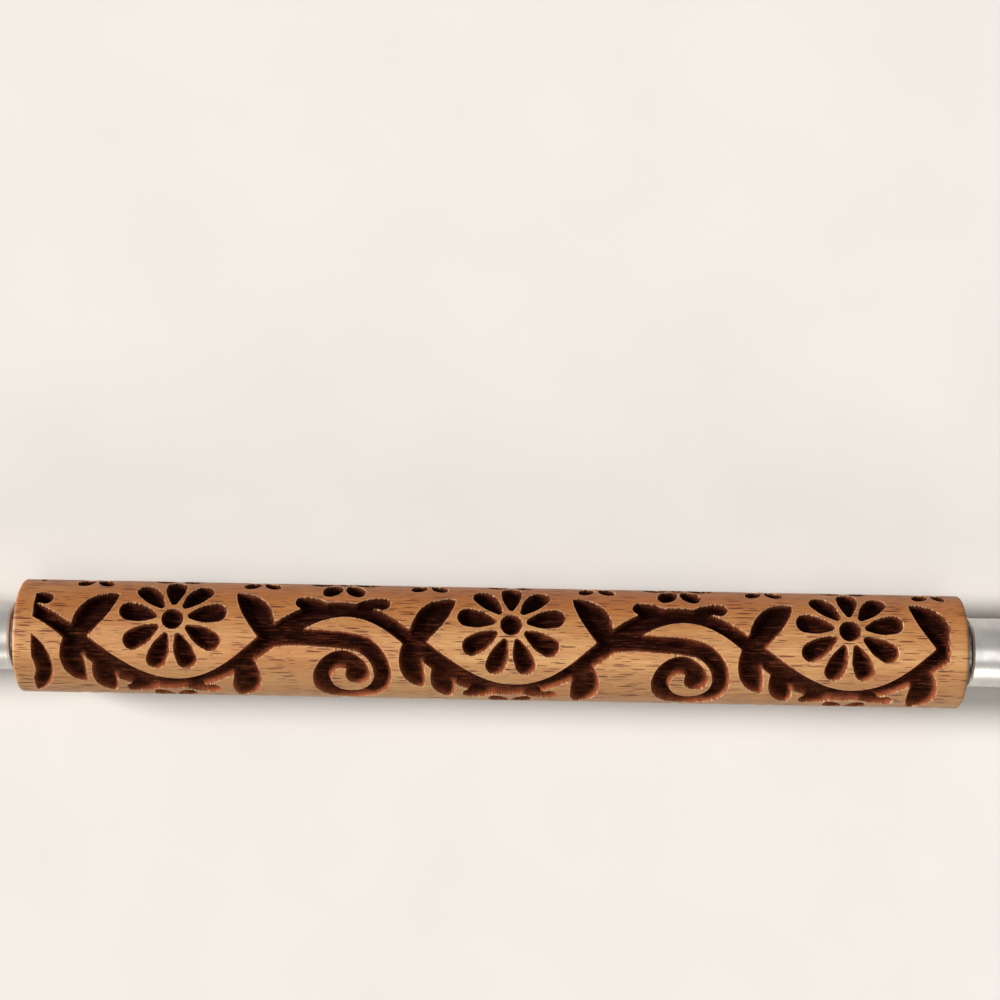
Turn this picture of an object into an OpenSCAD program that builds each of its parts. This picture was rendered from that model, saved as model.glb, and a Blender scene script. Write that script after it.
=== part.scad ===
// Pattern roller, drawn with a plain beech barrel that turns on two ball bearings
// about a stepped steel axle, with a fixed turned handle at each end.
// Frame: the roller's axis is X, +Z is up, the origin is the middle of the axis.

/* [Barrel] */
// Outside diameter of the barrel, over the uncut land
barrel_d = 30; // [28:0.5:36]
// Length of the barrel
barrel_l = 250; // [220:5:300]
// Clearance bore through the middle of the barrel
barrel_bore_d = 9.2; // [8.6:0.1:11]
// Chamfer on the barrel's end edges
barrel_chamfer = 0.8; // [0.4:0.1:1.2]

/* [Bearings] */
// Bearing bore, which is the axle's journal diameter
bearing_bore_d = 6; // [6:0.1:6.2]
// Bearing outside diameter
bearing_od = 15; // [15:0.1:15.4]
// Bearing width
bearing_w = 5; // [5:0.1:5.6]
// Number of balls in each bearing
ball_count = 7; // [6:1:8]
// Ball diameter
ball_d = 2.4; // [2.3:0.05:2.45]
// Thickness of the dust cap that covers each bearing
cap_t = 1.4; // [1.2:0.1:2]
// Outside diameter of the dust cap
cap_d = 19; // [18:0.5:20]

/* [Handles] */
// Gap between the barrel's end face and the ferrule
end_gap = 2; // [1.5:0.25:4]
// Length of the ferrule
ferrule_l = 13; // [11:0.5:16]
// Outside diameter of the ferrule
ferrule_d = 18.4; // [18:0.2:19.4]
// Diameter of the straight part of the grip
grip_d = 22; // [21:0.5:25]
// Length of the straight part of the grip
grip_l = 38; // [30:1:50]
// Length of the whole handle, from the ferrule's face to its end
handle_l = 90; // [84:1:110]

/* [Fasteners] */
// Lock nut width across its flats
nut_af = 10; // [9.6:0.1:10]
// Lock nut height
nut_h = 6; // [5:0.5:6.5]
// Washer thickness
washer_t = 1.2; // [1:0.1:1.4]

/* [Hidden] */
// Sizes shared between pieces
ferrule_wall = 0.8;
ferrule_base = 1.2;
pocket_r = 6.4;        // nut pocket in the handle's end
pocket_depth = 12;
axle_past_nut = 1.3;
cap_r = cap_d / 2;
ferrule_r = ferrule_d / 2;

// Places along X on the right side, from the middle outwards
barrel_end = barrel_l / 2;
bearing_out = barrel_end - cap_t;        // bearing's outer face
bearing_in = bearing_out - bearing_w;    // bearing's inner face
bearing_mid = (bearing_in + bearing_out) / 2;
ferrule_start = barrel_end + end_gap;
handle_start = ferrule_start + ferrule_base;
ferrule_end = ferrule_start + ferrule_l;
handle_end = ferrule_start + handle_l;
pocket_floor = handle_end - pocket_depth;
nut_start = pocket_floor + washer_t;
axle_end = nut_start + nut_h + axle_past_nut;

// Radii inside the bearing
journal_r = bearing_bore_d / 2;
pitch_r = (bearing_bore_d + bearing_od) / 4;
ball_r = ball_d / 2;
race_depth = 0.35;     // how far a ball sits into each ring
race_gap = 0.02;       // radial play of a ball in its races
shield_r = 6.55;
shield_inset = 0.15;   // bearing face to the shield's outer face
shield_step = 0.45;    // bearing face to the shield's inner face

turn_facets = 96;
ball_facets = 48;
curve_steps = 10;      // segments in each turned curve

beech = [0.80, 0.60, 0.40];
handle_wood = [0.82, 0.63, 0.43];
axle_steel = [0.72, 0.73, 0.75];
ring_steel = [0.78, 0.79, 0.81];
ball_steel = [0.86, 0.87, 0.89];
cage_cream = [0.85, 0.82, 0.72];
dark_steel = [0.70, 0.71, 0.73];
plain_steel = [0.74, 0.75, 0.77];

// A solid of revolution about the X axis from [x, radius] points.
module turned(points, facets = turn_facets)
  rotate([0, 90, 0])
    rotate_extrude($fn = facets)
      polygon([for (p = points) [p[1], p[0]]]);

// A tube about X between x0 and x1.
module tube(x0, x1, outer_r, inner_r)
  turned([[x0, inner_r], [x1, inner_r], [x1, outer_r], [x0, outer_r]]);

// Pieces are drawn at +X for side 1, and mirrored to -X for side -1.
module on_side(side) {
  if (side > 0) children();
  else mirror([1, 0, 0]) children();
}

module barrel() color(beech) {
  r = barrel_d / 2;
  bore_r = barrel_bore_d / 2;
  seat_r = bearing_od / 2;
  turned([
    [-barrel_end + barrel_chamfer, r], [barrel_end - barrel_chamfer, r],
    [barrel_end, r - barrel_chamfer], [barrel_end, cap_r],
    [bearing_out, cap_r], [bearing_out, seat_r], [bearing_in, seat_r], [bearing_in, bore_r],
    [-bearing_in, bore_r], [-bearing_in, seat_r], [-bearing_out, seat_r], [-bearing_out, cap_r],
    [-barrel_end, cap_r], [-barrel_end, r - barrel_chamfer]], facets = 192);
}

module axle() color(axle_steel) {
  shoulder_r = 4;      // thicker part between the bearings
  chamfer = 0.6;
  turned([
    [-axle_end, 0], [-axle_end, journal_r - chamfer], [-axle_end + chamfer, journal_r],
    [-bearing_in, journal_r], [-bearing_in, shoulder_r],
    [bearing_in, shoulder_r], [bearing_in, journal_r],
    [axle_end - chamfer, journal_r], [axle_end, journal_r - chamfer], [axle_end, 0]]);
}

// The ring-shaped space the balls run in.
module ball_track()
  translate([bearing_mid, 0, 0])
    rotate([0, 90, 0])
      rotate_extrude($fn = turn_facets)
        translate([pitch_r, 0])
          circle(r = ball_r + race_gap, $fn = ball_facets);

module at_balls()
  for (i = [0 : ball_count - 1])
    translate([bearing_mid, 0, 0])
      rotate([i * 360 / ball_count, 0, 0])
        translate([0, 0, pitch_r])
          children();

module bearing_outer_ring(side) on_side(side) color(ring_steel) {
  step_bore_r = 5;
  overcut = 0.1;
  difference() {
    tube(bearing_in, bearing_out, bearing_od / 2, pitch_r + ball_r - race_depth);
    ball_track();
    // steps that hold the shields
    tube(bearing_in - overcut, bearing_in + shield_step, shield_r, step_bore_r);
    tube(bearing_out - shield_step, bearing_out + overcut, shield_r, step_bore_r);
  }
}

module bearing_inner_ring(side) on_side(side) color(ring_steel)
  difference() {
    tube(bearing_in, bearing_out, pitch_r - ball_r + race_depth, journal_r);
    ball_track();
  }

module bearing_balls(side) on_side(side) color(ball_steel)
  at_balls() sphere(d = ball_d, $fn = ball_facets);

module bearing_cage(side) on_side(side) color(cage_cream) {
  half_w = 1.55;
  half_wall = 0.5;
  ball_gap = 0.06;
  difference() {
    tube(bearing_mid - half_w, bearing_mid + half_w, pitch_r + half_wall, pitch_r - half_wall);
    at_balls() sphere(r = ball_r + ball_gap, $fn = ball_facets);
  }
}

module bearing_shields(side) on_side(side) color(dark_steel) {
  bore_r = 4.65;
  tube(bearing_in + shield_inset, bearing_in + shield_step, shield_r, bore_r);
  tube(bearing_out - shield_step, bearing_out - shield_inset, shield_r, bore_r);
}

module dust_cap(side) on_side(side) color(plain_steel) {
  bore_r = 4.6;
  chamfer = 0.25;
  relief_r = 6.9;      // shallow recess in the face towards the bearing
  relief_x = bearing_out + 0.05;
  turned([
    [relief_x, bore_r], [barrel_end - chamfer, bore_r], [barrel_end, bore_r + chamfer],
    [barrel_end, cap_r - chamfer], [barrel_end - chamfer, cap_r],
    [bearing_out, cap_r], [bearing_out, relief_r], [relief_x, relief_r]]);
}

module spacer(side) on_side(side) color(plain_steel)
  tube(bearing_out, ferrule_start, outer_r = 4.2, inner_r = journal_r);

// A thin cup, rounded at its base edge and grooved near its open end.
module ferrule(side) on_side(side) color(plain_steel) {
  bore_r = journal_r + 0.05;
  edge = 0.8;          // size of the base edge's rounding
  edge_mid = 0.25;
  groove_depth = 0.25;
  groove_x = ferrule_end - 2.6;
  groove_r = ferrule_r - groove_depth;
  inside_r = ferrule_r - ferrule_wall;
  turned([
    [ferrule_start, bore_r], [ferrule_start, ferrule_r - edge],
    [ferrule_start + edge_mid, ferrule_r - edge_mid], [ferrule_start + edge, ferrule_r],
    [groove_x, ferrule_r], [groove_x + 0.3, groove_r],
    [groove_x + 0.7, groove_r], [groove_x + 1, ferrule_r],
    [ferrule_end, ferrule_r], [ferrule_end, inside_r],
    [handle_start, inside_r], [handle_start, bore_r]]);
}

// Radius at fraction t (0 to 1) of the way from one radius to another, with level ends.
function ease(from, to, t) = from + (to - from) * (1 - cos(180 * t)) / 2;

module handle(side) on_side(side) color(handle_wood) {
  bore_r = journal_r + 0.1;
  plug_r = ferrule_r - ferrule_wall;   // part inside the ferrule
  bead_w = 4.2;
  bead_h = 1.1;
  neck_x = ferrule_end + bead_w;
  neck_r = ferrule_r - 0.2;
  grip_r = grip_d / 2;
  end_l = 13;                          // rounded end
  end_r = 8.9;
  grip_end = handle_end - end_l;
  grip_start = grip_end - grip_l;
  n = curve_steps;
  turned(concat(
    [[handle_start, bore_r], [handle_start, plug_r],
     [ferrule_end, plug_r], [ferrule_end, ferrule_r]],
    // bead
    [for (i = [1 : n - 1]) let (t = i / n)
      [ferrule_end + bead_w * t, ferrule_r + bead_h * sin(180 * t) + (neck_r - ferrule_r) * t]],
    // swell from the neck to the grip
    [for (i = [0 : n]) let (t = i / n)
      [neck_x + (grip_start - neck_x) * t, ease(neck_r, grip_r, t)]],
    // rounded end
    [for (i = [0 : n]) let (t = i / n)
      [grip_end + end_l * sin(90 * t), end_r + (grip_r - end_r) * cos(90 * t)]],
    [[handle_end, pocket_r], [pocket_floor, pocket_r], [pocket_floor, bore_r]]));
}

module washer(side) on_side(side) color(plain_steel)
  tube(pocket_floor, nut_start, outer_r = 6.1, inner_r = journal_r + 0.2);

// A hexagon chamfered at its inner end and cut down to a round collar at its outer end.
module lock_nut(side) on_side(side) color(dark_steel) {
  envelope = [         // [x from the nut's inner face, radius]
    [0, 0], [0, 5.2], [0.5, 5.9], [nut_h - 1.2, 5.9],
    [nut_h - 0.9, 4.9], [nut_h, 4.4], [nut_h, 0]];
  difference() {
    intersection() {
      translate([nut_start, 0, 0])
        rotate([0, 90, 0])
          rotate([0, 0, 30])
            cylinder(r = nut_af / 2 / cos(30), h = nut_h, $fn = 6);
      turned([for (p = envelope) [nut_start + p[0], p[1]]]);
    }
    tube(nut_start - 1, nut_start + nut_h + 1, journal_r, 0);
  }
}

// A domed button whose stem plugs the nut pocket.
module end_button(side) on_side(side) color(beech) {
  stem_start = handle_end - 3;
  stem_chamfer = 0.5;
  button_r = 7.9;
  dome_h = 2.9;
  dome_start = handle_end + 0.6;
  turned(concat(
    [[stem_start, 0], [stem_start, pocket_r - stem_chamfer],
     [stem_start + stem_chamfer, pocket_r], [handle_end, pocket_r],
     [handle_end, button_r], [dome_start, button_r]],
    [for (i = [1 : curve_steps]) let (angle = 90 * i / curve_steps)
      [dome_start + dome_h * sin(angle), button_r * cos(angle)]]));
}

barrel();
axle();
bearing_outer_ring(-1);  // left_bearing_outer_ring
bearing_inner_ring(-1);  // left_bearing_inner_ring
bearing_balls(-1);  // left_bearing_balls
bearing_cage(-1);  // left_bearing_cage
bearing_shields(-1);  // left_bearing_shields
dust_cap(-1);  // left_dust_cap
spacer(-1);  // left_spacer
ferrule(-1);  // left_ferrule
handle(-1);  // left_handle
washer(-1);  // left_washer
lock_nut(-1);  // left_lock_nut
end_button(-1);  // left_end_button
bearing_outer_ring(1);  // right_bearing_outer_ring
bearing_inner_ring(1);  // right_bearing_inner_ring
bearing_balls(1);  // right_bearing_balls
bearing_cage(1);  // right_bearing_cage
bearing_shields(1);  // right_bearing_shields
dust_cap(1);  // right_dust_cap
spacer(1);  // right_spacer
ferrule(1);  // right_ferrule
handle(1);  // right_handle
washer(1);  // right_washer
lock_nut(1);  // right_lock_nut
end_button(1);  // right_end_button
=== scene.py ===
# A beech rolling pin. Its axis is the X axis, the barrel is centred on the origin, and
# the handles reach out to -X and +X. The floor lies just under the barrel. The barrel carries
# an engraved flower-and-scroll ornament. Shapes are drawn in mm and scaled by MM at the end.
from math import cos, sin, pi, radians

import bmesh
import bpy
import numpy as np
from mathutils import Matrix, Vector, kdtree
from mathutils.geometry import delaunay_2d_cdt


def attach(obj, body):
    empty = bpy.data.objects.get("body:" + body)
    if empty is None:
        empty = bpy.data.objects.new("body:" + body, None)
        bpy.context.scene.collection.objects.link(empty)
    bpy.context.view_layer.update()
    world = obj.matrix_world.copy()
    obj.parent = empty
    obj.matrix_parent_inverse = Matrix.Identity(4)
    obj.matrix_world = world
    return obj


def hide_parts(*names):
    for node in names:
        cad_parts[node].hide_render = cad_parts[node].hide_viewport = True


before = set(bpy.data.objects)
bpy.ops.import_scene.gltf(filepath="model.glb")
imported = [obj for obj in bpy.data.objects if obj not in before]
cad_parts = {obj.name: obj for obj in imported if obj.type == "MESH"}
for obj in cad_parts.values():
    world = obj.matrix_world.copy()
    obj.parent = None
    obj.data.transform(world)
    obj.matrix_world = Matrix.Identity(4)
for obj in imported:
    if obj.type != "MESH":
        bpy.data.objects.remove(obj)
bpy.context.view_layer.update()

MM = 0.001

RADIUS = 15.0            # barrel
HALF = 125.0             # half the barrel's length
PERIOD = 88.6            # one repeat of the ornament along the axis
GIRTH = 94.2478          # and once round the barrel

# ------------------------------------------------------------------ ornament
# The barrel's skin is unrolled into a flat sheet: x along the axis, t round the barrel.
# A stroke is a list of (x, t, half width) points.
WAVE = 11.5              # swing of a stem to each side of its middle line
# (share of the way out, share of the half width)
PETAL = ((0, .28), (.3, .64), (.62, .93), (1, 1))
ALMOND = ((0, .12), (.28, .72), (.52, 1), (.76, .72), (1, .08))


def polar(x, t, angle, reach):
    return x + reach * cos(radians(angle)), t + reach * sin(radians(angle))


def fan(x, t, angles, start, end, half, shape):
    """Strokes along rays from (x, t), from radius start to end."""
    return [[(*polar(x, t, angle, start + f * (end - start)), half * k) for f, k in shape]
            for angle in angles]


def coil(x, t, radius, start_angle, sweep, half, eye, lead):
    """A spiral that narrows to an eye, after the lead-in points."""
    points = list(lead)
    steps = int(abs(sweep) / 28)
    for k in range(steps + 1):
        f = k / steps
        reach = radius * (1 - .72 * f ** 1.6)
        width = half * (1 + .12 * f) if f < .86 else half + (eye - half) * ((f - .86) / .14)
        points.append((*polar(x, t, start_angle + sweep * f, reach), width))
    return points


def leaf(x, t, angle, length, half, bend):
    """A bent leaf, widest half way along."""
    base, tip, steps = .45, .06, 7
    points = []
    for i in range(steps + 1):
        f = i / steps
        if f < .5:
            k = base + (1 - base) * sin(pi / 2 * (f / .5))
        else:
            k = tip + (1 - tip) * cos(pi / 2 * (f - .5) / .5) ** .9
        points.append((x, t, half * k))
        angle += bend / (steps + 1)
        x += length / steps * cos(radians(angle))
        t += length / steps * sin(radians(angle))
    return points


def bud(x, t, angle, length, half, bend):
    """A bent drop, widest at its end."""
    steps = 4
    points = []
    for i in range(steps + 1):
        points.append((x, t, half * (.55 + .45 * (i / steps) ** 1.3)))
        angle += bend / steps
        x += length / steps * cos(radians(angle))
        t += length / steps * sin(radians(angle))
    return points


def vine(start, mid):
    """One period of a waving stem from (start, mid) along the barrel, with what hangs on it."""
    crest, cross, trough = start + PERIOD / 4, start + PERIOD / 2, start + 3 * PERIOD / 4
    strokes = [[(start + x, mid + WAVE * sin(2 * pi * x / PERIOD),
                 2.15 + .4 * sin(4 * pi * x / PERIOD)) for x in np.linspace(0, PERIOD, 17)]]
    # a nine-petalled daisy above each trough and a coil below each crest
    strokes.append([(trough, mid + 7.8, 2.7)])
    strokes += fan(trough, mid + 7.8, range(90, 450, 40), start=4.9, end=11.6, half=2.5,
                   shape=PETAL)
    strokes.append(coil(
        crest + 1.6, mid - 7.1, radius=9.8, start_angle=90, sweep=-440, half=2.05, eye=3.0,
        lead=((start - .5, mid + .2, 1.4), (start + 5, mid + 2.7, 1.7),
              (start + 11, mid + 3.4, 1.95), (start + 17.3, mid + 3.2, 2.05))))
    # leaves where the stem crosses its middle line: x, t, angle, length, half width, bend
    strokes += [leaf(*row) for row in (
        (cross - 2.6, mid + 2.4, 74, 16.4, 3.5, -42),
        (cross - 3.9, mid + 3.4, -104, 14.6, 2.9, 54),
        (cross + 3.6, mid - 2.8, -90, 12.4, 2.8, 26),
        (start - 3.0, mid - 2.4, -74, 15.4, 3.5, -46),
        (start + 2.8, mid + 2.8, 100, 16.2, 3.4, 44))]
    # two buds outside each turn of the stem
    for x, up in ((crest, 1), (trough, -1)):
        for shift, angle, bend in ((-4.0, 140, 46), (4.0, 40, -46)):
            strokes.append(bud(x + shift, mid + up * 12.2, up * angle, length=6.8, half=1.8,
                               bend=up * bend))
    # a small flower above each crest, a sprig above each daisy, a clover between the leaves
    flower = mid + GIRTH / 4 + .6
    strokes.append([(crest, flower, 1.7)])
    strokes += fan(crest, flower, range(0, 360, 60), start=2.8, end=9.0, half=2.3, shape=ALMOND)
    strokes += fan(trough, mid + 22.5, (20, 90, 160), start=1.6, end=6.6, half=1.7, shape=ALMOND)
    for x in (start + .4, cross + .4):
        strokes += fan(x, mid + GIRTH / 4 + .2, range(45, 405, 90), start=1.4, end=6.0,
                       half=1.75, shape=ALMOND)
    return strokes


def spline(stroke, steps=7):
    """Catmull-Rom curve through the points of a stroke."""
    p = np.array(stroke, float)
    if len(p) == 1:
        return p
    q = np.vstack([2 * p[0] - p[1], p, 2 * p[-1] - p[-2]])
    f = (np.arange(steps) / steps)[:, None]
    out = [0.5 * (2 * b + (c - a) * f + (2 * a - 5 * b + 4 * c - d) * f ** 2
                  + (3 * b - a - 3 * c + d) * f ** 3)
           for a, b, c, d in zip(q, q[1:], q[2:], q[3:])]
    out = np.vstack(out + [p[-1:]])
    out[:, 2] = np.maximum(out[:, 2], .05)
    return out


# ------------------------------------------------------------------ distance to the cuts
COLS, ROWS = 886, 942    # raster of one repeat, about 0.1 mm
COL_STEP, ROW_STEP = PERIOD / COLS, GIRTH / ROWS
SHEET_COLS, SHEET_STEP = 2501, .1    # raster of the whole sheet along x
FIRST_COL = 638          # tile column that lies at x = 0
PLAIN = HALF - 5         # the ornament stops here
RIM = .22                # the rim stands this far outside the drawn stroke
# edges of a raster cell: 0 bottom, 1 right, 2 top, 3 left
# code of the cell's low corners: (edge the line enters by, edge it leaves by)
CELL_LINES = {
    1: ((3, 0),), 2: ((0, 1),), 3: ((3, 1),), 4: ((1, 2),), 5: ((3, 0), (1, 2)),
    6: ((0, 2),), 7: ((3, 2),), 8: ((2, 3),), 9: ((2, 0),), 10: ((0, 1), (2, 3)),
    11: ((2, 1),), 12: ((1, 3),), 13: ((1, 0),), 14: ((0, 3),)}


def tile_distance():
    """Signed distance to the edge of the cut shapes over one repeat; negative inside."""
    field = np.full((ROWS, COLS), 9.0)
    # two waving stems round the barrel, the second half a period along
    for stroke in vine(0.0, .34 * GIRTH) + vine(PERIOD / 2, .84 * GIRTH):
        s = spline(stroke)
        for a, b in [(s[0], s[0])] if len(s) == 1 else zip(s, s[1:]):
            margin = max(a[2], b[2]) + 2.4
            cols, rows = (
                np.arange(int(np.floor((min(a[k], b[k]) - margin) / step)),
                          int(np.ceil((max(a[k], b[k]) + margin) / step)) + 1)
                for k, step in enumerate((COL_STEP, ROW_STEP)))
            x, t = np.meshgrid(cols * COL_STEP - a[0], rows * ROW_STEP - a[1])
            dx, dt = b[0] - a[0], b[1] - a[1]
            square = dx * dx + dt * dt
            h = np.clip((x * dx + t * dt) / square, 0, 1) if square > 1e-9 else 0 * x
            d = np.hypot(x - h * dx, t - h * dt) - (a[2] + h * (b[2] - a[2]))
            window = np.ix_(rows % ROWS, cols % COLS)
            field[window] = np.minimum(field[window], d)
    field -= RIM
    for _ in range(3):   # eases the inside corners a little, as a round cutter does
        for axis in (0, 1):
            field = (np.roll(field, 1, axis) + 2 * field + np.roll(field, -1, axis)) / 4
    return field


def contours(field, level):
    """Lines of field = level in (column, row) units with the low side on the left,
    and whether each one closes."""
    low = field < level
    width = field.shape[1]
    codes = low[:-1, :-1] * 1 + low[:-1, 1:] * 2 + low[1:, 1:] * 4 + low[1:, :-1] * 8
    rows, cols = np.nonzero((codes > 0) & (codes < 15))
    following = {}
    for i, j, code in zip(rows.tolist(), cols.tolist(), codes[rows, cols].tolist()):
        base = 2 * (i * width + j)
        ids = (base, base + 3, base + 2 * width, base + 1)   # horizontal even, vertical odd
        for a, b in CELL_LINES[code]:
            following[ids[a]] = ids[b]
    lines = []
    flat = field.ravel()
    heads = sorted(set(following) - set(following.values()))
    while following:
        start = heads.pop() if heads else next(iter(following))
        current = following.pop(start)
        line = [start]
        while current != start and current in following:
            line.append(current)
            current = following.pop(current)
        closed = current == start
        e = np.array(line if closed else line + [current])
        v = e // 2
        w = np.where(e % 2 == 0, v + 1, v + width)
        f = (level - flat[v]) / (flat[w] - flat[v])
        x = v % width + np.where(e % 2 == 0, f, 0)
        y = v // width + np.where(e % 2 == 1, f, 0)
        lines.append((np.stack([x, y], 1), closed))
    return lines


def sheet_distance():
    """Signed distance to the cut edges over the whole sheet."""
    tile = tile_distance()
    # inside the cuts, the true distance from the outline itself
    pad = 40
    edge = np.vstack([line for line, _ in contours(np.pad(tile, pad, mode="wrap"), 0.0)])
    edge = np.stack([(edge[:, 0] - pad) * COL_STEP, (edge[:, 1] - pad) * ROW_STEP], 1)
    tree = kdtree.KDTree(len(edge))
    for i, (x, t) in enumerate(edge.tolist()):
        tree.insert((x, t, 0), i)
    tree.balance()
    rows, cols = np.nonzero(tile < -.05)
    tile[rows, cols] = [-tree.find((i * COL_STEP, j * ROW_STEP, 0))[2]
                        for j, i in zip(rows.tolist(), cols.tolist())]
    cols = (np.arange(SHEET_COLS) - FIRST_COL) % COLS
    rows = np.arange(ROWS + 1) % ROWS
    x = -HALF + SHEET_STEP * np.arange(SHEET_COLS)
    return np.maximum(tile[np.ix_(rows, cols)], (np.abs(x) - PLAIN)[None, :])


def sample(field, x, t):
    """Bilinear value of the sheet's field at (x, t)."""
    u = np.clip((x + HALF) / SHEET_STEP, 0, SHEET_COLS - 1.001)
    v = np.clip(t / ROW_STEP, 0, ROWS - .001)
    i, j = u.astype(int), v.astype(int)
    fu, fv = u - i, v - j
    return ((field[j, i] * (1 - fu) + field[j, i + 1] * fu) * (1 - fv)
            + (field[j + 1, i] * (1 - fu) + field[j + 1, i + 1] * fu) * fv)


# ------------------------------------------------------------------ engraved barrel
PHASE = 0.357            # share of a turn from the seam to the top of the barrel
DEEP, SHOULDER = 2.0, 1.5    # depth of the cuts, and how far in from the edge it is reached
EDGE = .8                # radius of the rounded end edges
SHEET_END = HALF - EDGE
BORE = 4.6
# lines of equal distance that the mesh follows: distance, point spacing, shortest loop kept
OUTLINES = ((.34, .7, 1.6), (.04, .36, 1.0), (-.12, .38, 1.0), (-.36, .42, 1.0),
            (-.72, .5, 1.0), (-1.2, .6, 1.0))
# (x, radius) of an end: rounded edge, face, cap recess, bearing seat, bore
END_PROFILE = [(SHEET_END + EDGE * sin(a * pi / 8), RADIUS - EDGE + EDGE * cos(a * pi / 8))
               for a in (1, 2, 3, 4)]
END_PROFILE += [(HALF, 13.4), (HALF, 11.4), (HALF, 9.62), (124.88, 9.5), (123.6, 9.5),
                (123.6, 7.5), (118.6, 7.5), (118.6, BORE)]
END_PROFILE += [(x, BORE) for x in (100, 66, 33)]


def noise2(x, y, seed):
    """Smooth value noise, from 0 to 1."""
    xi, yi = np.floor(x).astype(int), np.floor(y).astype(int)
    fx, fy = x - xi, y - yi
    fx, fy = fx * fx * (3 - 2 * fx), fy * fy * (3 - 2 * fy)

    def corner(a, b):
        n = (a * 374761393 + b * 668265263 + seed * 974634777) & 0xffffffff
        n = ((n ^ (n >> 13)) * 1274126177) & 0xffffffff
        return ((n ^ (n >> 16)) & 0xffff) / 65535.0
    return ((corner(xi, yi) * (1 - fx) + corner(xi + 1, yi) * fx) * (1 - fy)
            + (corner(xi, yi + 1) * (1 - fx) + corner(xi + 1, yi + 1) * fx) * fy)


def resample(line, step, closed):
    """Points about step apart along a line."""
    if closed:
        line = np.vstack([line, line[:1]])
    run = np.concatenate([[0], np.cumsum(np.hypot(*np.diff(line, axis=0).T))])
    if closed:
        count = max(6, int(round(run[-1] / step)))
        u = np.arange(count) * run[-1] / count
    else:
        u = np.linspace(0, run[-1], max(2, round(run[-1] / step)) + 1)
    return np.stack([np.interp(u, run, line[:, 0]), np.interp(u, run, line[:, 1])], 1)


def chain(first, count, closed=True):
    """Edges that join count points in a row, from index first."""
    return [(first + i, first + (i + 1) % count) for i in range(count - (not closed))]


def outline_points(field):
    """Points and edges of the outlines, and the points where they meet the seam."""
    points, edges, crossings = [], [], []
    for level, step, shortest in OUTLINES:
        for line, closed in contours(field, level):
            line = np.stack([-HALF + SHEET_STEP * line[:, 0], line[:, 1] * ROW_STEP], 1)
            length = np.hypot(*np.diff(np.vstack([line, line[:1]]), axis=0).T).sum()
            if closed and length < shortest:
                continue
            line = resample(line, step, closed).tolist()
            if not closed:
                crossings += [line[0], line[-1]]
            edges += chain(len(points), len(line), closed)
            points += line
    return points, edges, crossings


def border_points(crossings):
    """The sheet's outer border. Both sides of the seam get the points where outlines cross it."""
    xs = np.linspace(-SHEET_END, SHEET_END, 157)
    ts = np.linspace(0, GIRTH, 97)
    hits = np.array(sorted(x for x, t in crossings if t < GIRTH / 2))
    clear = [abs(hits - x).min() > .25 for x in xs]
    xs = np.sort(np.concatenate([xs[clear], hits]))
    border = [(x, 0.0) for x in xs[:-1]] + [(SHEET_END, t) for t in ts[:-1]]
    border += [(x, GIRTH) for x in xs[::-1][:-1]] + [(-SHEET_END, t) for t in ts[::-1][:-1]]
    return [list(map(float, point)) for point in border]


def staggered_grid(dx, dt):
    x, t = np.meshgrid(np.arange(-SHEET_END + dx / 2, SHEET_END - dx / 4, dx),
                       np.arange(dt / 2, GIRTH - dt / 4, dt))
    x[1::2] += dx / 2
    return x.ravel(), t.ravel()


def fill_points(field):
    """Loose points, coarse on the land and finer in the cuts."""
    x, t = staggered_grid(dx=1.7, dt=1.15)
    land = (sample(field, x, t) > .8) & (np.abs(x) < SHEET_END - .5)
    points = np.stack([x[land], t[land]], 1).tolist()
    x, t = staggered_grid(dx=.78, dt=.6)
    g = sample(field, x, t)
    cut = (g < -.25) & np.all([np.abs(g - row[0]) > .13 for row in OUTLINES], axis=0)
    return points + np.stack([x[cut], t[cut]], 1).tolist()


def triangulate(field):
    points, edges, crossings = outline_points(field)
    border = border_points(crossings)
    edges += chain(len(points), len(border))
    points += border + fill_points(field)
    result = delaunay_2d_cdt([Vector(p) for p in points], edges, [], 0, 1e-6)
    return np.array([tuple(v) for v in result[0]]), result[2]


def cut_depth(x, t, g):
    """Depth of the engraving, with cutter marks that follow the fibres on its floor."""
    d = np.clip(-g / SHOULDER, 0, 1)
    seam_fade = np.clip(np.minimum(t, GIRTH - t) / 2, 0, 1)
    marks = noise2(x / 6.5, t / 1.5, 3) + .6 * noise2(x / 2.6, t / .9, 5) - .8
    return DEEP * (1 - (1 - d) ** 2) + seam_fade * np.clip(-g - .25, 0, .8) * .26 * marks


def welded_faces(flat, triangles, x, t):
    """The sheet's triangles, wound one way, with the far side of the seam put on the near."""
    remap = np.arange(len(flat))
    near, far = np.nonzero(t < 1e-4)[0], np.nonzero(t > GIRTH - 1e-4)[0]
    remap[far[np.argsort(x[far])]] = near[np.argsort(x[near])]
    faces = []
    for tri in triangles:
        a, b, c = (int(remap[i]) for i in tri)
        if a == b or b == c or a == c:
            continue
        u, v = flat[tri[1]] - flat[tri[0]], flat[tri[2]] - flat[tri[0]]
        faces.append((a, b, c) if u[0] * v[1] - u[1] * v[0] > 0 else (a, c, b))
    return faces


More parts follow.
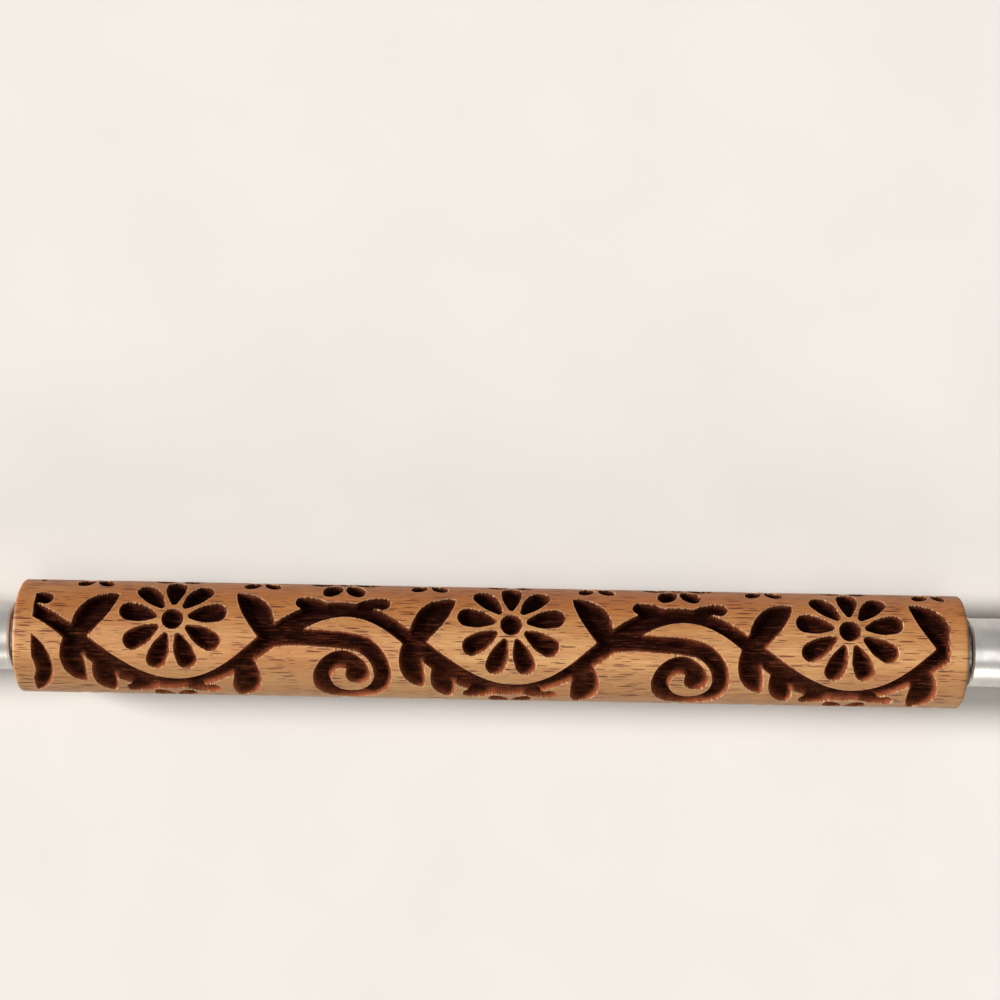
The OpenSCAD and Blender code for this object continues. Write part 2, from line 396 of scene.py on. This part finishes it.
def solid(name, verts, faces, sharp, cut=None):
    """A smooth object from verts in metres. With cut, that value is stored at each vertex
    and vertices without a face are dropped."""
    mesh = bpy.data.meshes.new(name)
    mesh.from_pydata(verts, [], faces)
    bm = bmesh.new()
    bm.from_mesh(mesh)
    if cut is not None:
        layer = bm.verts.layers.float.new("cut")
        for vert, value in zip(bm.verts, cut):
            vert[layer] = value
        loose = [v for v in bm.verts if not v.link_faces]
        bmesh.ops.delete(bm, geom=loose, context="VERTS")
    bmesh.ops.recalc_face_normals(bm, faces=bm.faces)
    bm.to_mesh(mesh)
    bm.free()
    for polygon in mesh.polygons:
        polygon.use_smooth = True
    mesh.set_sharp_from_angle(angle=radians(sharp))
    ob = bpy.data.objects.new(name, mesh)
    bpy.context.scene.collection.objects.link(ob)
    return ob


def engraved_barrel():
    field = sheet_distance()
    flat, triangles = triangulate(field)
    x, t = flat[:, 0], flat[:, 1]
    g = sample(field, x, t)
    psi = (t / GIRTH - PHASE) * 2 * pi
    r = RADIUS - cut_depth(x, t, g)
    verts = np.stack([x, r * np.sin(psi), r * np.cos(psi)], 1).tolist()
    cut = np.clip(g, -3, 3).tolist()
    faces = welded_faces(flat, triangles, x, t)
    # ends, from the sheet's border inwards; the +X one runs on to the middle of the bore
    rims = []
    for sign in (-1, 1):
        k = np.nonzero((np.abs(x - sign * SHEET_END) < 1e-4) & (t < GIRTH - 1e-4))[0]
        ring = [int(i) for i in k[np.argsort(t[k])]]
        count = len(ring)
        for px, pr in END_PROFILE + ([(0, BORE)] if sign > 0 else []):
            new = list(range(len(verts), len(verts) + count))
            for i in range(count):
                angle = (i / count - PHASE) * 2 * pi
                verts.append([sign * px, pr * sin(angle), pr * cos(angle)])
                cut.append(3.0)
            for i in range(count):
                j = (i + 1) % count
                quad = (ring[i], ring[j], new[j], new[i])
                faces.append(quad[::-1] if sign > 0 else quad)
            ring = new
        rims.append(ring)
    left, right = rims
    for i in range(len(left)):
        j = (i + 1) % len(left)
        faces.append((left[i], left[j], right[j], right[i]))
    return solid("engraved_barrel", [(a * MM, b * MM, c * MM) for a, b, c in verts], faces,
                 sharp=38, cut=cut)


# ------------------------------------------------------------------ turned pieces
HANDLE_START, FERRULE_END, HANDLE_END = 127.0, 140.0, 217.0   # places along x
FERRULE_R = 9.2
GRIP_R = 11.0
TAIL_R = 8.9             # outer end of the handle
TAIL = 13                # length of its rounded tail
GRIP = 38                # length of the straight grip
SOCKET_R = 6.4           # recess in the handle's outer end, which the button plugs
ROD_HOLE_R = 3.1
BUTTON_R = 7.9


def lathe(name, profile, segments=128):
    """A closed solid of revolution about X from an (x, r) outline; r = 0 closes on the axis."""
    verts, faces, rings = [], [], []
    for x, r in profile:
        if r < 1e-6:
            rings.append([len(verts)])
            verts.append((x * MM, 0, 0))
        else:
            rings.append(list(range(len(verts), len(verts) + segments)))
            verts += [(x * MM, r * MM * sin(2 * pi * k / segments),
                       r * MM * cos(2 * pi * k / segments)) for k in range(segments)]
    following = rings[1:]
    if len(rings[0]) > 1:    # an outline off the axis closes on itself
        following.append(rings[0])
    for a, b in zip(rings, following):
        for k in range(segments):
            j = (k + 1) % segments
            if len(a) == 1:
                faces.append((a[0], b[k], b[j]))
            elif len(b) == 1:
                faces.append((a[k], b[0], a[j]))
            else:
                faces.append((a[k], b[k], b[j], a[j]))
    return solid(name, verts, faces, sharp=30)


def ease(a, b, f):
    return a + (b - a) * (1 - cos(pi * f)) / 2


def handle_profile():
    """Neck in the ferrule, bead, swelling grip with four thin grooves, tail and socket."""
    neck_r = FERRULE_R - .8
    bead, bead_drop = 4.2, .2
    tail_x = HANDLE_END - TAIL
    grip_x = tail_x - GRIP
    p = [(HANDLE_START + 1.2, ROD_HOLE_R), (HANDLE_START + 1.2, neck_r), (FERRULE_END, neck_r),
         (FERRULE_END, FERRULE_R - .12), (FERRULE_END + .1, FERRULE_R)]
    p += [(FERRULE_END + bead * i / 24, FERRULE_R + 1.1 * sin(pi * i / 24) - bead_drop * i / 24)
          for i in range(1, 24)]
    swell_x = FERRULE_END + bead
    p += [(swell_x + (grip_x - swell_x) * i / 36, ease(FERRULE_R - bead_drop, GRIP_R, i / 36))
          for i in range(37)]
    for groove in (grip_x + 3.0, grip_x + 5.0, tail_x - 5.0, tail_x - 3.0):
        p += [(groove + .42 * a, GRIP_R - .34 * max(0, 1 - a * a))
              for a in (-1.15, -1, -.66, -.33, 0, .33, .66, 1, 1.15)]
    p += [(tail_x + TAIL * sin(pi / 2 * i / 28),
           TAIL_R + (GRIP_R - TAIL_R) * cos(pi / 2 * i / 28)) for i in range(28)]
    return p + [(HANDLE_END - .02, TAIL_R - .25), (HANDLE_END, TAIL_R - .6),
                (HANDLE_END, SOCKET_R + .25), (HANDLE_END - .25, SOCKET_R),
                (HANDLE_END - 12, SOCKET_R), (HANDLE_END - 12, ROD_HOLE_R)]


def button_profile():
    """Plug in the socket and a domed head outside it."""
    rim, dome = .6, 2.9
    p = [(HANDLE_END - 3, 0), (HANDLE_END - 3, SOCKET_R - .5), (HANDLE_END - 2.5, SOCKET_R),
         (HANDLE_END, SOCKET_R), (HANDLE_END, BUTTON_R - .3), (HANDLE_END + .08, BUTTON_R - .1),
         (HANDLE_END + .3, BUTTON_R)]
    p += [(HANDLE_END + rim + dome * sin(pi / 2 * i / 26), BUTTON_R * cos(pi / 2 * i / 26))
          for i in range(26)]
    return p + [(HANDLE_END + rim + dome, 0)]


# ------------------------------------------------------------------ material helpers
def srgb(*channels):
    """Linear colour from 0-255 sRGB."""
    def linear(c):
        c /= 255
        return c / 12.92 if c <= .04045 else ((c + .055) / 1.055) ** 2.4
    return (*map(linear, channels), 1.0)


class Material:
    """A node material and short helpers to wire it. Patterns are laid out in mm."""

    def __init__(self, name, split=True):
        self.material = bpy.data.materials.new(name)
        self.material.use_nodes = True
        self.tree = self.material.node_tree
        self.tree.nodes.clear()
        output = self.node("ShaderNodeOutputMaterial")
        self.shader = self.node("ShaderNodeBsdfPrincipled")
        self.put(output.inputs[0], self.shader.outputs[0])
        scale = self.node("ShaderNodeVectorMath", operation="SCALE")
        self.put(scale.inputs[0], self.node("ShaderNodeTexCoord").outputs["Object"])
        scale.inputs["Scale"].default_value = 1 / MM
        self.mm = scale.outputs[0]
        if split:
            self.x, self.y, self.z = self.separate(self.mm)

    def node(self, kind, **settings):
        node = self.tree.nodes.new(kind)
        for key, value in settings.items():
            setattr(node, key, value)
        return node

    def put(self, socket, value):
        """Link a socket, or set a plain value."""
        if hasattr(value, "links"):
            self.tree.links.new(value, socket)
        else:
            socket.default_value = value

    def separate(self, vector, kind="XYZ"):
        node = self.node("ShaderNodeSeparate" + kind)
        self.put(node.inputs[0], vector)
        return node.outputs

    def math(self, op, a, b=0.0, c=0.0, clamp=False):
        node = self.node("ShaderNodeMath", operation=op, use_clamp=clamp)
        for socket, value in zip(node.inputs, (a, b, c)):
            self.put(socket, value)
        return node.outputs[0]

    def add(self, a, b):
        return self.math("ADD", a, b)

    def sub(self, a, b, clamp=False):
        return self.math("SUBTRACT", a, b, clamp=clamp)

    def mul(self, a, factor, clamp=False):
        return self.math("MULTIPLY", a, factor, clamp=clamp)

    def muladd(self, a, factor, plus):
        return self.math("MULTIPLY_ADD", a, factor, plus)

    def swing(self, noise, amount):
        """Noise centred on zero."""
        return self.mul(self.sub(noise, .5), factor=amount)

    def hypot(self, a, b):
        return self.math("SQRT", self.add(self.mul(a, a), self.mul(b, b)))

    def arc(self):
        """Length round the barrel from its top."""
        return self.mul(self.math("ARCTAN2", self.y, self.z), RADIUS)

    def vec(self, x, y=0.0, z=0.0):
        node = self.node("ShaderNodeCombineXYZ")
        for socket, value in zip(node.inputs, (x, y, z)):
            self.put(socket, value)
        return node.outputs[0]

    def noise(self, vector, detail, rough=.5, scale=1.0, distort=0.0):
        node = self.node("ShaderNodeTexNoise")
        for key, value in (("Vector", vector), ("Scale", scale), ("Detail", detail),
                           ("Roughness", rough), ("Distortion", distort)):
            self.put(node.inputs[key], value)
        return node.outputs["Fac"]

    def grain(self, along, across, detail, rough=.5, shift=None, distort=0.0):
        """Noise with its own frequencies per mm along X and across it."""
        if shift is None:
            x = self.mul(self.x, along)
        else:
            x = self.muladd(self.x, along, shift)
        vector = self.vec(x, self.mul(self.y, across), self.mul(self.z, across))
        return self.noise(vector, detail, rough, distort=distort)

    def ramp(self, value, stops):
        node = self.node("ShaderNodeValToRGB")
        elements = node.color_ramp.elements
        while len(elements) < len(stops):
            elements.new(.5)
        for element, (position, color) in zip(elements, stops):
            element.position = position
            element.color = color
        self.put(node.inputs[0], value)
        return node.outputs[0]

    def remap(self, value, span, to=(0, 1)):
        node = self.node("ShaderNodeMapRange", clamp=True)
        self.put(node.inputs["Value"], value)
        for key, number in zip(("From Min", "From Max", "To Min", "To Max"), (*span, *to)):
            node.inputs[key].default_value = number
        return node.outputs[0]

    def mix(self, factor, a, b, blend="MIX"):
        node = self.node("ShaderNodeMix", data_type="RGBA", blend_type=blend)
        node.clamp_factor = True
        for index, value in ((0, factor), (6, a), (7, b)):
            self.put(node.inputs[index], value)
        return node.outputs[2]

    def tint(self, color, mask, span, amount, into):
        """Mix into another colour as the mask crosses the span, up to amount."""
        return self.mix(self.remap(mask, span, to=(0, amount)), color, into)

    def bump(self, height, depth, strength, normal=None):
        node = self.node("ShaderNodeBump")
        node.inputs["Strength"].default_value = strength
        node.inputs["Distance"].default_value = depth * MM
        self.put(node.inputs["Height"], height)
        if normal is not None:
            self.put(node.inputs["Normal"], normal)
        return node.outputs[0]

    def finish(self, **inputs):
        """Fill the shader's inputs, named with _ for spaces."""
        for key, value in inputs.items():
            self.put(self.shader.inputs[key.replace("_", " ")], value)
        return self.material


# ------------------------------------------------------------------ wood
PITH_Y, PITH_Z = -19.0, 31.0    # centre of the growth rings


def flecks(mat, arc, shift, length, height, smallest, spread, share):
    """Lens-shaped ray flecks, one to a cell of length x height mm."""
    cells = mat.node("ShaderNodeTexVoronoi", voronoi_dimensions="2D")
    cells.inputs["Scale"].default_value = 1
    wobble = mat.noise(mat.vec(mat.mul(mat.x, factor=.35), arc, shift), detail=1)
    row = mat.muladd(wobble, factor=.22, plus=mat.mul(arc, 1 / height))
    mat.put(cells.inputs["Vector"], mat.vec(mat.muladd(mat.x, 1 / length, shift), row))
    pick, size, strength = mat.separate(cells.outputs["Color"], kind="Color")
    size = mat.muladd(mat.math("POWER", size, b=1.5), spread, smallest)
    dash = mat.sub(1.0, mat.math("DIVIDE", cells.outputs["Distance"], size), clamp=True)
    dash = mat.mul(mat.remap(dash, span=(.02, .26)), mat.remap(pick, span=(share, share + .22)))
    return mat.mul(dash, mat.remap(strength, span=(0, 1), to=(.55, 1.0)))


def end_grain(mat, top, mid):
    """Rings about an off-centre pith, fine rays and pores."""
    y, z = mat.add(mat.y, -PITH_Y), mat.sub(mat.z, PITH_Z)
    wander = mat.noise(mat.mm, scale=.16, detail=2)
    ring = mat.muladd(wander, factor=2.2, plus=mat.hypot(y, z))
    late = mat.remap(mat.math("SINE", mat.mul(ring, factor=3.4)), span=(.25, 1.0))
    ray_angle = mat.mul(mat.math("ARCTAN2", y, z), factor=130.0)
    rays = mat.noise(mat.vec(ray_angle, mat.mul(ring, factor=.22)), detail=2, rough=.6)
    dots = mat.noise(mat.mm, scale=4.2, detail=2, rough=.6)
    color = mat.mix(mat.mul(late, factor=.34), mat.mix(factor=.45, a=mid, b=top),
                    srgb(140, 84, 46))
    color = mat.tint(color, rays, span=(.54, .70), amount=.45, into=srgb(226, 178, 124))
    return mat.tint(color, dots, span=(.52, .66), amount=.40, into=srgb(122, 70, 40))


def wood(mat, top, mid, low, shift, fleck):
    """Beech: slow colour drift, straight fibres along X, dark ray flecks, and end grain."""
    slow = mat.grain(along=.016, across=.10, detail=3, rough=.55, shift=shift)
    band = mat.grain(along=.010, across=.55, detail=2, shift=shift + 7, distort=.4)
    fine = mat.grain(along=.05, across=1.25, detail=5, rough=.72, shift=shift)
    hair = mat.grain(along=.16, across=3.0, detail=3, rough=.7, shift=shift + 3)
    pore = mat.grain(along=.55, across=9.0, detail=2, rough=.6, shift=shift)
    color = mat.ramp(slow, ((.30, low), (.50, mid), (.72, top)))
    color = mat.tint(color, band, span=(.42, .66), amount=.42, into=top)
    color = mat.tint(color, fine, span=(.40, .68), amount=.50,
                     into=mat.mix(factor=.60, a=top, b=srgb(142, 80, 42)))
    color = mat.tint(color, hair, span=(.46, .70), amount=.50,
                     into=mat.mix(factor=.55, a=top, b=srgb(128, 66, 34)))
    color = mat.tint(color, hair, span=(.44, .28), amount=.34,
                     into=mat.mix(factor=.5, a=low, b=srgb(238, 198, 148)))
    color = mat.tint(color, pore, span=(.56, .74), amount=.26, into=srgb(150, 92, 55))
    # flecks, thicker in some patches
    arc = mat.arc()
    patch = mat.remap(mat.grain(along=.03, across=.22, detail=1), span=(.36, .54), to=(.42, 1.0))
    big = flecks(mat, arc, shift, length=10.0, height=.80, smallest=.13, spread=.20, share=.16)
    small = flecks(mat, arc, shift + 40, length=6.4, height=.58, smallest=.10, spread=.17,
                   share=.36)
    dash = mat.mul(mat.math("MAXIMUM", big, mat.mul(small, factor=.75)), mat.mul(patch, fleck))
    # faces square to X show end grain, without flecks
    normal = mat.separate(mat.node("ShaderNodeNewGeometry").outputs["True Normal"])
    end = mat.remap(mat.math("ABSOLUTE", normal[0]), span=(.80, .93))
    dash = mat.mul(dash, mat.sub(1.0, end))
    color = mat.mix(mat.mul(dash, factor=1.35, clamp=True),
                    mat.mix(end, color, end_grain(mat, top, mid)), srgb(92, 36, 14))
    return color, fine, pore, dash


def grain_bump(mat, fine, pore, dash, pore_rise, fleck_sink, strength):
    height = mat.muladd(dash, -fleck_sink, mat.muladd(pore, pore_rise, fine))
    return mat.bump(height, depth=.05, strength=strength)


def barrel_material():
    mat = Material("engraved_beech")
    color, fine, pore, dash = wood(mat, top=srgb(192, 134, 81), mid=srgb(208, 157, 103),
                                   low=srgb(216, 173, 118), shift=0.0, fleck=1.0)
    # painted light and shade: the wood is multiplied by a band across Y, brightest a little to
    # the -Y side of the top, greyer towards -Y and darker and redder towards +Y, as the light
    # fell on the barrel
    side = mat.muladd(mat.grain(along=.02, across=.16, detail=2), factor=5.0,
                      plus=mat.sub(mat.y, 2.5))
    tone = mat.ramp(mat.remap(side, span=(-15, 15)), (
        (0, (.73, .72, .62, 1)), (.25, (.73, .68, .59, 1)), (.42, (1, 1, 1, 1)),
        (.58, (.90, .86, .82, 1)), (.73, (.77, .65, .53, 1)), (.87, (.69, .48, .28, 1)),
        (1, (.66, .44, .24, 1))))
    color = mat.mix(factor=1.0, a=color, b=tone, blend="MULTIPLY")

    cut = mat.node("ShaderNodeAttribute", attribute_name="cut").outputs["Fac"]
    # passes of the beam run round the barrel, 0.3 mm apart; fibres run along it
    beam = mat.noise(mat.vec(mat.mul(mat.x, factor=3.1), mat.mul(mat.arc(), factor=.34)),
                     detail=1)
    fuzz = mat.grain(along=.9, across=5.5, detail=2, rough=.6)
    edge = mat.add(mat.swing(fuzz, amount=.38), mat.swing(beam, amount=.70))
    ragged = mat.add(cut, mat.mul(edge, mat.remap(cut, span=(.30, .10), to=(.0, .9))))
    depth = mat.sub(RADIUS, mat.hypot(mat.y, mat.z))
    streak = mat.grain(along=.11, across=1.05, detail=5, rough=.78)
    cloud = mat.grain(along=.22, across=.30, detail=3, rough=.6)
    fibre = mat.grain(along=.17, across=2.3, detail=3, rough=.65)

    # burnt colour, darker with depth
    char = mat.sub(depth, mat.mul(edge, factor=.9))
    char = mat.sub(char, mat.swing(cloud, amount=1.1))
    burn = mat.ramp(mat.remap(char, span=(0, DEEP)), (
        (.0, srgb(206, 136, 94)), (.16, srgb(178, 105, 66)), (.42, srgb(118, 58, 34)),
        (.74, srgb(60, 22, 13)), (1.0, srgb(34, 10, 5))))
    burn = mat.tint(burn, streak, span=(.42, .60), amount=.85,
                    into=mat.mix(factor=.8, a=burn, b=srgb(10, 3, 2)))
    burn = mat.tint(burn, streak, span=(.44, .30), amount=.62, into=srgb(132, 76, 50))
    burn = mat.tint(burn, fibre, span=(.55, .70), amount=.42, into=srgb(138, 68, 42))
    burn = mat.tint(burn, fibre, span=(.46, .34), amount=.60, into=srgb(16, 4, 2))
    # painted light: the cuts are mixed towards a lighter brown on the -Y side, most where shallow
    pale = mat.mul(mat.remap(side, span=(1, -8), to=(0, .38)), mat.remap(char, span=(2.2, .9)))
    burn = mat.mix(pale, burn, srgb(152, 84, 54))
    # painted shade: the cuts are darkened to near black on the +Y side
    burn = mat.tint(burn, side, span=(2, 9), amount=.74, into=srgb(24, 5, 3))

    # land round the cuts: a painted highlight along the rims, scorched lines and a wide brown
    # haze
    inside = mat.remap(ragged, span=(.04, -.06))
    painted_rim_highlight = mat.mul(mat.remap(ragged, span=(.34, .06)),
                   mat.remap(beam, span=(.35, .62), to=(.12, .55)))
    scorch = mat.mul(mat.remap(cut, span=(.55, .0)),
                     mat.remap(beam, span=(.52, .30), to=(0, .55)))
    smoke = mat.grain(along=.13, across=.20, detail=2, rough=.6)
    haze = mat.mul(mat.remap(cut, span=(2.0, .1)),
                   mat.remap(smoke, span=(.54, .72), to=(0, .42)))
    land = mat.mix(painted_rim_highlight, color, srgb(240, 192, 150))
    land = mat.mix(scorch, land, srgb(150, 86, 50))
    land = mat.mix(haze, land, srgb(168, 98, 54))

    surface = grain_bump(mat, fine, pore, dash, pore_rise=.35, fleck_sink=.8, strength=.55)
    wall = mat.mul(inside, mat.remap(depth, span=(1.9, 1.2)))
    relief = mat.add(mat.mul(mat.muladd(fibre, factor=.5, plus=streak), inside),
                     mat.mul(mat.mul(beam, wall), factor=.6))
    polish = mat.remap(fine, span=(.3, .7), to=(.42, .56))
    return mat.finish(Base_Color=mat.mix(inside, land, burn),
                      Roughness=mat.mix(inside, polish, (.9, .9, .9, 1)), Metallic=0.0,
                      Normal=mat.bump(relief, depth=.42, strength=.9, normal=surface),
                      Specular_IOR_Level=mat.muladd(inside, factor=-.33, plus=.36))


def handle_material(name, shift):
    mat = Material(name)
    color, fine, pore, dash = wood(mat, top=srgb(196, 137, 84), mid=srgb(209, 157, 103),
                                   low=srgb(218, 173, 120), shift=shift, fleck=.75)
    turning = mat.grain(along=6.0, across=.05, detail=2, rough=.6)
    wear = mat.grain(along=.06, across=.12, detail=3, rough=.6)
    color = mat.tint(color, wear, span=(.52, .72), amount=.22, into=srgb(176, 118, 74))
    rough = mat.remap(mat.add(fine, mat.mul(wear, factor=.6)), span=(.5, 1.1), to=(.30, .48))
    surface = grain_bump(mat, fine, pore, dash, pore_rise=.3, fleck_sink=.7, strength=.45)
    return mat.finish(Base_Color=color, Roughness=rough, Metallic=0.0,
                      Normal=mat.bump(turning, depth=.02, strength=.5, normal=surface),
                      Specular_IOR_Level=.5, Coat_Weight=.18, Coat_Roughness=.28)


# ------------------------------------------------------------------ steel, nylon and floor
def steel(name, tone, rough, relief=1.0, fineness=9.0):
    """Turned steel: faint rings round the axis, cloudy roughness."""
    def shade(k):
        return (*(c * k for c in tone), 1)
    mat = Material(name)
    rings = mat.grain(along=fineness, across=.12, detail=3, rough=.6)
    face = mat.noise(mat.vec(mat.mul(mat.hypot(mat.y, mat.z), fineness)), detail=3, rough=.6)
    cloud = mat.noise(mat.mm, scale=.25, detail=3, rough=.55)
    color = mat.tint((*tone, 1), cloud, span=(.35, .7), amount=1, into=shade(.82))
    color = mat.tint(color, rings, span=(.4, .7), amount=.25, into=shade(.7))
    rough = mat.muladd(cloud, factor=.22, plus=mat.muladd(rings, factor=.10, plus=rough - .14))
    return mat.finish(Base_Color=color, Roughness=rough, Metallic=1.0,
                      Normal=mat.bump(mat.add(rings, face), depth=.012, strength=.5 * relief))


def nylon():
    mat = Material("cage_nylon", split=False)
    cloud = mat.noise(mat.mm, scale=.6, detail=3, rough=.6)
    speckle = mat.noise(mat.mm, scale=6, detail=2, rough=.6)
    color = mat.tint(srgb(214, 205, 178), cloud, span=(.35, .7), amount=1,
                     into=srgb(196, 184, 150))
    return mat.finish(Base_Color=color, Metallic=0.0, Subsurface_Weight=.06,
                      Roughness=mat.remap(speckle, span=(.3, .7), to=(.42, .6)),
                      Normal=mat.bump(speckle, depth=.02, strength=.4))


def floor_material():
    mat = Material("pale_floor", split=False)
    color = mat.tint((.74, .735, .725, 1), mat.noise(mat.mm, scale=.02, detail=2),
                     span=(.3, .7), amount=1, into=(.77, .765, .755, 1))
    return mat.finish(Base_Color=color, Roughness=.9, Metallic=0.0, Specular_IOR_Level=.1)


# ------------------------------------------------------------------ pieces
barrel = engraved_barrel()
barrel.data.materials.append(barrel_material())
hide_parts("barrel")
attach(barrel, "barrel")

for side, sign, shift in (("left", -1, 31.0), ("right", 1, 53.0)):
    beech = handle_material(f"turned_beech_{side}", shift)
    for piece, profile in (("handle", handle_profile()), ("end_button", button_profile())):
        ob = lathe(f"{side}_{piece}_turned", [(sign * x, r) for x, r in profile])
        ob.data.materials.append(beech)
        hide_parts(f"{side}_{piece}")
        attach(ob, "handle_frame")

# material name, colour, roughness, then relief and fineness of the rings where not standard
STEELS = {
    "axle": ("axle_ground_steel", (.52, .52, .53), .24),
    "bearing_outer_ring": ("ring_steel", (.58, .58, .60), .18),
    "bearing_inner_ring": ("ring_steel_inner", (.58, .58, .60), .18),
    "bearing_balls": ("ball_steel", (.70, .70, .72), .08, .2, 3),
    "bearing_shields": ("shield_steel", (.50, .50, .52), .30),
    "dust_cap": ("cap_steel", (.60, .59, .58), .30),
    "spacer": ("spacer_steel", (.56, .56, .57), .28),
    "ferrule": ("ferrule_steel", (.62, .61, .59), .27),
    "washer": ("washer_zinc", (.55, .56, .58), .34),
    "lock_nut": ("nut_zinc", (.52, .53, .55), .36, .6),
}
looks = {piece: steel(*row) for piece, row in STEELS.items()}
looks["bearing_cage"] = nylon()
for name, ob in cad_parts.items():
    piece = name.split("_", 1)[1] if name.startswith(("left_", "right_")) else name
    if piece in looks:
        slots = ob.data.materials
        if not slots:
            slots.append(looks[piece])
        for i in range(len(slots)):
            slots[i] = looks[piece]

# ------------------------------------------------------------------ stage, light and camera
bpy.ops.mesh.primitive_plane_add(size=6, location=(0, 0, -(RADIUS + .1) * MM))
floor = bpy.context.object
floor.name = "floor"
floor.data.materials.append(floor_material())


def studio_world():
    """The room lights the object softly, but is seen, and mirrored in the steel, as pale."""
    soft, seen_level = .12, .62
    world = bpy.data.worlds.new("studio")
    bpy.context.scene.world = world
    world.use_nodes = True
    nodes, links = world.node_tree.nodes, world.node_tree.links
    background = nodes["Background"]
    background.inputs["Color"].default_value = (1.0, .97, .93, 1)
    path = nodes.new("ShaderNodeLightPath")
    seen = nodes.new("ShaderNodeMath")
    seen.operation = "MAXIMUM"
    links.new(path.outputs["Is Camera Ray"], seen.inputs[0])
    links.new(path.outputs["Is Glossy Ray"], seen.inputs[1])
    level = nodes.new("ShaderNodeMapRange")
    level.inputs["To Min"].default_value = soft
    level.inputs["To Max"].default_value = seen_level
    links.new(seen.outputs[0], level.inputs["Value"])
    links.new(level.outputs[0], background.inputs["Strength"])


def sun(name, source, spread, power, color):
    """A sun that shines from the direction of source; spread in degrees."""
    light = bpy.data.lights.new(name, "SUN")
    light.angle = radians(spread)
    light.energy = power
    light.color = color
    ob = bpy.data.objects.new(name, light)
    bpy.context.scene.collection.objects.link(ob)
    ob.rotation_euler = (-Vector(source)).to_track_quat("-Z", "Y").to_euler()


studio_world()
sun("key", source=(-2.3, .30, 1.22), spread=16, power=5.4, color=(1.0, .95, .89))
sun("top", source=(.1, -.3, 3.0), spread=40, power=.55, color=(1.0, .98, .96))
sun("low", source=(.2, -2.2, .9), spread=35, power=.80, color=(1.0, .96, .88))

# the camera looks straight down, turned a little about Z
lens = bpy.data.cameras.new("cam")
lens.lens = 74.1
lens.sensor_width = 36
lens.clip_start = .01
camera = bpy.data.objects.new("cam", lens)
scene = bpy.context.scene
scene.collection.objects.link(camera)
camera.location = (.00169, .03854, .5517)
camera.rotation_euler = (0, 0, radians(1.06))
scene.camera = camera
scene.view_settings.view_transform = "Standard"
scene.view_settings.look = "None"
